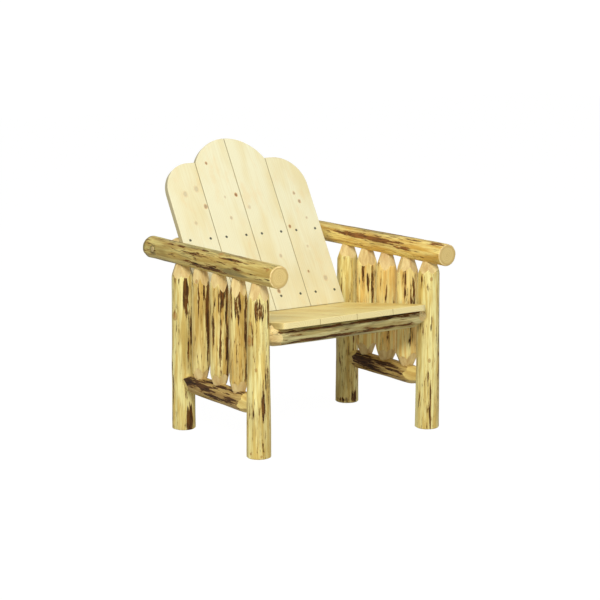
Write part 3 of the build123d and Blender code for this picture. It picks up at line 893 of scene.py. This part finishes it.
def planedWood(name, colours, origin, tilt, seed, knots):
    # planed pine: flat-sawn grain in the board's own directions, bent round its knots; each
    # knot is (across in mm, along in mm, size in mm, darkness)
    material, net, shader = newMaterial(name)
    co = net.add("ShaderNodeTexCoord", out="Object")
    wires = {"Vector": co, "Location": origin, "Rotation": (tilt, 0, 0)}
    place = net.add("ShaderNodeMapping", wires, vector_type="TEXTURE")
    x, y, z = net.split(place)
    swing = net.noise(net.join(x, y * 0.12, z), 9, 2, 0.5)
    bend = 0.0
    core = 0.0
    ring = 0.0
    for across, along, size, dark in knots:
        dx = (x - across / 1000) / (size / 2000)
        dy = (y - along / 1000) / (size / 2000 * 1.35)
        away = net.math("SQRT", dx * dx + dy * dy)
        edge = net.noise(net.join(x, y, float(seed)), 160, 2, 0.5) * 0.7
        away = away + edge - 0.35
        bend = 0.010 / (1 + away * away) + bend
        core = net.most(core, net.ramp(away, 0.95, 0.7) * dark)
        ring = net.most(ring, net.ramp(away, 1.5, 1.0) * net.ramp(away, 0.6, 0.95) * dark)
    pith = net.join(x - 0.02 * sin(seed) + (swing - 0.5) * 0.05, 0.0,
                    z + 0.03 + (swing - 0.5) * 0.04)
    depth = net.vector("LENGTH", pith, out="Value") + bend
    wave = net.math("FRACT", depth * planed["rings"])
    late = net.ramp(wave, 0.35, 0.85) * (1 - net.ramp(wave, 0.9, 1.0))
    fibre = net.noise(net.join(x, y * 0.02, z), 700, 3, 0.6)
    cloud = net.noise(net.join(x, y * 0.25, z + seed * 0.7), 14, 3, 0.5)
    colour = net.blend(net.ramp(cloud, 0.4, 0.7), tint(colours["light"]), tint(colours["deep"]))
    colour = net.blend(late * colours["grain"] + (fibre - 0.5) * 0.25, colour, tint(colours["late"]))
    blush = net.noise(net.join(x, y * 0.4, z + seed * 1.9), 22, 4, 0.6)
    colour = net.blend(net.ramp(blush, 0.54, 0.72) * 0.3, colour, tint(colours["blush"]))
    colour = net.blend(ring * 0.7, colour, tint(planed["knotRing"]))
    colour = net.blend(core * 0.9, colour, tint(planed["knotCore"]))
    # end grain at the ends; the sides darkened as painted shade in the joints between boards
    normal = net.add("ShaderNodeNewGeometry", out="Normal")
    wires = {"Vector": normal, "Rotation": (-tilt, 0, 0)}
    nx, ny, _ = net.split(net.add("ShaderNodeMapping", wires, vector_type="VECTOR"))
    endGrain = net.ramp(net.math("ABSOLUTE", ny), 0.6, 0.9)
    flankShade = net.ramp(net.math("ABSOLUTE", nx), 0.6, 0.95)
    speck = net.noise(net.scaled(place, 1, 0.2, 1), 500, 2, 0.5)
    sawn = net.blend(late * 0.35 + (speck - 0.5) * 0.5, tint(colours["end"]), tint(colours["late"]))
    colour = net.blend(endGrain, colour, sawn)
    colour = net.blend(flankShade * 0.6, colour, tint(planed["flankShade"]))
    net.set(shader.inputs["Base Color"], colour)
    net.set(shader.inputs["Roughness"], colours["rough"] + late * 0.08 + (fibre - 0.5) * 0.1)
    net.relief(shader, late * 0.35 + fibre * 0.5 - core * 0.8, planed["relief"], planed["bump"])
    shader.inputs["Coat Weight"].default_value = planed["coat"]
    shader.inputs["Coat Roughness"].default_value = planed["coatRough"]
    return material


boardKnots = {      # across from the board's middle and up from its foot, mm
    "back_board_1": [(-5, 440, 15, 0.3), (42, 455, 16, 0.3), (58, 390, 12, 0.7), (3, 335, 10, 0.3)],
    "back_board_2": [(-28, 545, 8, 0.9), (50, 423, 10, 1.0), (5, 418, 7, 0.3), (5, 342, 9, 0.4)],
    "back_board_3": [(-52, 375, 10, 0.3), (12, 190, 10, 0.4), (-38, 68, 11, 0.8)],
    "back_board_4": [(2, 412, 9, 0.6), (14, 380, 10, 0.7), (-56, 292, 9, 0.9), (22, 318, 7, 0.4),
                     (-38, 125, 7, 0.8), (22, 95, 14, 0.35), (-10, 215, 7, 0.3)],
    "seat_board_1": [(-20, 180, 12, 0.6), (30, 330, 10, 0.5)],
    "seat_board_2": [(25, 120, 10, 0.5), (-20, 400, 14, 0.5)],
    "seat_board_3": [(-30, 260, 12, 0.5), (10, 90, 8, 0.4)],
    "seat_board_4": [(20, 300, 12, 0.5), (-25, 430, 10, 0.5)],
}
for kind, tilt, seedFrom in (("seat", -seat["slope"], 10), ("back", pi / 2 - back["lean"], 0)):
    for number in range(1, 5):
        node = f"{kind}_board_{number}"
        low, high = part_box(node)
        foot = high.z if kind == "seat" else low.z
        origin = ((low.x + high.x) / 2, low.y, foot)
        wood = planedWood(f"{kind}Board{number}", boardWood[kind], origin, tilt, seedFrom + number,
                          boardKnots[node])
        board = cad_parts[node]
        board.data.materials.clear()
        board.data.materials.append(wood)
print("boards finished")


# Steel of the screws

steels = {
    "screwCoating": {"colour": "4E5140", "worn": "8C8E80", "rough": 0.5, "metal": 0.4},
    "zincPlate": {"colour": "B4B6B4", "worn": "8C8E80", "rough": 0.35, "metal": 0.9},
}


def steel(name):
    # plated steel, dulled in small spots
    look = steels[name]
    material, net, shader = newMaterial(name)
    place = net.add("ShaderNodeTexCoord", out="Object")
    wear = net.noise(place, 900, 3, 0.6)
    colour = net.blend(net.ramp(wear, 0.35, 0.7), tint(look["colour"]), tint(look["worn"]))
    net.set(shader.inputs["Base Color"], colour)
    net.set(shader.inputs["Roughness"], look["rough"] + (wear - 0.5) * 0.3)
    shader.inputs["Metallic"].default_value = look["metal"]
    return material


# Screws: one Geometry Nodes tree makes a threaded screw and sets it along each row

screwSizes = {
    "Screw Length": ("Float", 0.06), "Shank": ("Float", 0.00225), "Head": ("Float", 0.0045),
    "Head Height": ("Float", 0.0032), "Thread Depth": ("Float", 0.00065),
    "Thread Pitch": ("Float", 0.0024), "Plain Shank": ("Float", 0.016),
    "Recess": ("Float", 0.0019), "Recess Depth": ("Float", 0.0017), "Boards": ("Int", 4),
    "Board Pitch": ("Float", 0.14), "Spread": ("Float", 0.039), "Seed": ("Int", 1),
    "Columns": ("Int", 30), "Rows": ("Int", 160), "Coating": ("Material", None),
}
headRings = 10      # rows from the middle of the head to its rim
coneRings = 5       # rows down the head's cone
driveLobes = 6
lobeDepth = 0.16    # share of the recess
runIn = 0.003       # length over which the thread grows to its full depth
tipRadii = 3        # the point is this many shank radii long


def screwTree():
    net = Net(bpy.data.node_groups.new("screwRow", "GeometryNodeTree"))
    size = net.sizes(screwSizes, "Screws")
    grid, turn, last, row = net.wrappedGrid(size)

    def share(first, count):
        return net.upToOne((row - first) / count)

    # down from the head's middle: face, rim, cone, shank with its thread, point
    face = share(0, headRings)
    cone = share(headRings, coneRings)
    shank = share(headRings + coneRings, last - headRings - coneRings)
    depth = cone * size["Head Height"] + shank * (size["Screw Length"] - size["Head Height"])
    lobes = size["Recess"] * (1 + lobeDepth * net.math("COSINE", turn * driveLobes))
    spot = face * size["Head"]
    recess = net.ramp(spot, lobes * 0.93, lobes * 1.03, 1.0, 0.0) * size["Recess Depth"]
    wave = net.math("FRACT", depth / size["Thread Pitch"] + turn / (2 * pi))
    crest = 1 - net.math("ABSOLUTE", wave * 2 - 1)
    plain = size["Plain Shank"]
    threaded = net.ramp(depth - size["Head Height"], plain, plain + runIn)
    onFace = net.math("LESS_THAN", row, headRings - 0.5)
    onShank = net.math("GREATER_THAN", row, headRings + coneRings + 0.5)
    head = size["Head"] + (size["Shank"] - size["Head"]) * cone
    thread = threaded * size["Thread Depth"] * (1 - crest ** 2) * onShank
    tip = net.upToOne((size["Screw Length"] - depth) / (size["Shank"] * tipRadii)) ** 0.7
    radius = (spot * onFace + head * (1 - onFace) - thread) * tip
    place = net.join(net.math("COSINE", turn) * radius, net.math("SINE", turn) * radius,
                     0 - depth - recess)
    screw = net.add("GeometryNodeSetPosition", {"Geometry": grid, "Position": place})
    screw = net.add("GeometryNodeMergeByDistance", {"Geometry": screw, "Distance": weld})

    # one point for each screw: two to a board
    start = (size["Boards"] - 1) * size["Board Pitch"] * -0.5
    lines = net.tree.nodes.new("GeometryNodeJoinGeometry")
    for way in (1, -1):
        wires = {"Count": size["Boards"], "Offset": net.join(size["Board Pitch"], 0.0, 0.0),
                 "Start Location": net.join(start + size["Spread"] * way, 0.0, 0.0)}
        line = net.add("GeometryNodeMeshLine", wires)
        net.tree.links.new(line.socket, lines.inputs[0])
    wires = {2: 0.0, 3: 2 * pi, 8: size["Seed"]}
    spin = net.add("FunctionNodeRandomValue", wires, out=1, data_type="FLOAT")
    wires = {"Points": Wire(net, lines.outputs[0]), "Instance": screw,
             "Rotation": net.join(0.0, 0.0, spin)}
    mesh = net.add("GeometryNodeInstanceOnPoints", wires)
    mesh = net.add("GeometryNodeRealizeInstances", {"Geometry": mesh})
    mesh = net.add("GeometryNodeSetMaterial", {"Geometry": mesh, "Material": size["Coating"]})
    net.set(net.tree.nodes.new("NodeGroupOutput").inputs[0], mesh)
    return net.tree


coated = steel("screwCoating")
screwRow = screwTree()
screwLook = {"spread": 0.039, "head": 0.0045, "seed": 70}
rows = {      # the way that each row of screws points
    "back_screws_upper": -Vector(backOut), "back_screws_lower": -Vector(backOut),
    "seat_screws_rear": -Vector(seatUp), "seat_screws_front": Vector(seatUp),
}
for number, (node, way) in enumerate(rows.items()):
    low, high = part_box(node)
    # the head's middle lies a head's radius in from the corner that the screws point away from
    head = screwLook["head"]
    y = low.y + head * abs(way.z) if way.y > 0 else high.y - head * abs(way.z)
    z = low.z + head * abs(way.y) if way.z > 0 else high.z - head * abs(way.y)
    middle = ((low.x + high.x) / 2, y, z)
    main = 1 if abs(way.y) > abs(way.z) else 2
    far = high if way[main] > 0 else low
    piece = grown(node + "_row", screwRow, {
        "Screw Length": (far[main] - middle[main]) / way[main],
        "Spread": screwLook["spread"],
        "Board Pitch": (high.x - low.x - 2 * head - 2 * screwLook["spread"]) / 3,
        "Seed": screwLook["seed"] + number, "Coating": coated,
    })
    turn = Vector((0, 0, -1)).rotation_difference(way).to_matrix().to_4x4()
    piece.data.transform(Matrix.Translation(middle) @ turn)
    closeMesh(piece.data)
    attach(piece, "root")
    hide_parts(node)

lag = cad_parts["arm_lag_screws"]
lag.data.materials.clear()
lag.data.materials.append(steel("zincPlate"))
print("screws set")


# Plugs over the lag screws

plug = {
    "sizes": {"Length": 0.012, "Edge": 0.0009, "Knife": 0.0, "Hollow": 0.0, "Sway": 0.0,
              "Columns": 64, "Rows": 48, "Seed": 5},
    "colours": {"light": "E8CE90", "deep": "D8B873"}, "woodSeed": 7,
}


def makePlugs():
    low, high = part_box("arm_plugs")
    radius = (high.z - low.z) / 2
    colours = boardWood["seat"] | plug["colours"]
    wood = planedWood("plugWood", colours, (low.x, low.y, low.z), 0.0, plug["woodSeed"], [])
    sizes = plug["sizes"] | tipSizes("End", 0.0, 0.0, 0.0)
    sizes |= {"Start Radius": radius, "End Radius": radius, "Wood": wood, "Sawn": wood}
    body = bmesh.new()
    for side, way in (("Left", -1), ("Right", 1)):
        outer = low.x if way < 0 else high.x
        foot = outer - way * sizes["Length"]
        tip = grown("plug" + side, peeledLog, sizes)
        turn = Vector((0, 0, 1)).rotation_difference(Vector((way, 0, 0))).to_matrix().to_4x4()
        centre = Vector((foot, (low.y + high.y) / 2, (low.z + high.z) / 2))
        tip.data.transform(Matrix.Translation(centre) @ turn)
        body.from_mesh(tip.data)
        bpy.data.objects.remove(tip)
    mesh = bpy.data.meshes.new("armPlugs")
    body.to_mesh(mesh)
    body.free()
    mesh.materials.append(wood)
    closeMesh(mesh)
    piece = bpy.data.objects.new("arm_plug_pair", mesh)
    scene.collection.objects.link(piece)
    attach(piece, "root")
    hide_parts("arm_plugs")


makePlugs()
print("plugs set")
